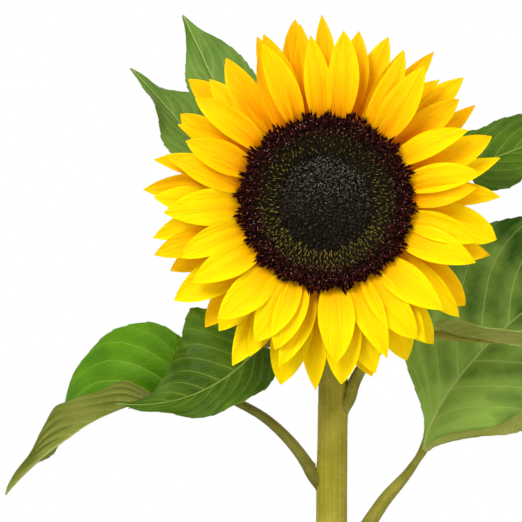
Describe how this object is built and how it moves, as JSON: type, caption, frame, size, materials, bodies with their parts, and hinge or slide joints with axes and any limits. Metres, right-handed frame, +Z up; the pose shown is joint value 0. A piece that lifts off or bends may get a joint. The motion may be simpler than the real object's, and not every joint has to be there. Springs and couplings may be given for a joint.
{
  "type": "sunflower plant",
  "caption": "Rooted garden sunflower in full bloom: ribbed stem, stalked heart-shaped leaves and one forward-facing flower head with yellow rays round a dark disc.",
  "frame": {"origin": "centre of the stem's flat cut at ground level", "axes": "+Z up the stem, -Y the way the flower faces, +X to the right as seen from the front"},
  "size_m": [0.3989, 0.4267, 0.7576],
  "materials": {
    "stem": "matt pale olive green, ribbed and hairy",
    "stalks": "matt olive green, hairy",
    "leaves": "satin mid green with pale veins, paler underneath",
    "petals": "satin yellow, golden toward the base",
    "bracts": "matt green, hairy",
    "receptacle": "matt green",
    "open_florets": "rough dark brown",
    "floret_buds": "rough grey black"
  },
  "bodies": {
    "root": {"blade_left_high": "leaves", "blade_left_low": "leaves", "blade_left_side": "leaves", "blade_left_top": "leaves", "blade_low_1": "leaves", "blade_low_2": "leaves", "blade_low_3": "leaves", "blade_low_4": "leaves", "blade_low_5": "leaves", "blade_pair_1_a": "leaves", "blade_pair_1_b": "leaves", "blade_pair_2_a": "leaves", "blade_pair_2_b": "leaves", "blade_right_high": "leaves", "blade_right_low": "leaves", "blade_right_side": "leaves", "bracts": "bracts", "disc_center": "floret_buds", "disc_ring": "open_florets", "petiole_left_high": "stalks", "petiole_left_low": "stalks", "petiole_left_side": "stalks", "petiole_left_top": "stalks", "petiole_low_1": "stalks", "petiole_low_2": "stalks", "petiole_low_3": "stalks", "petiole_low_4": "stalks", "petiole_low_5": "stalks", "petiole_pair_1_a": "stalks", "petiole_pair_1_b": "stalks", "petiole_pair_2_a": "stalks", "petiole_pair_2_b": "stalks", "petiole_right_high": "stalks", "petiole_right_low": "stalks", "petiole_right_side": "stalks", "rays_back": "petals", "rays_front": "petals", "rays_middle": "petals", "receptacle": "receptacle", "stem": "stem"}
  },
  "joints": []
}
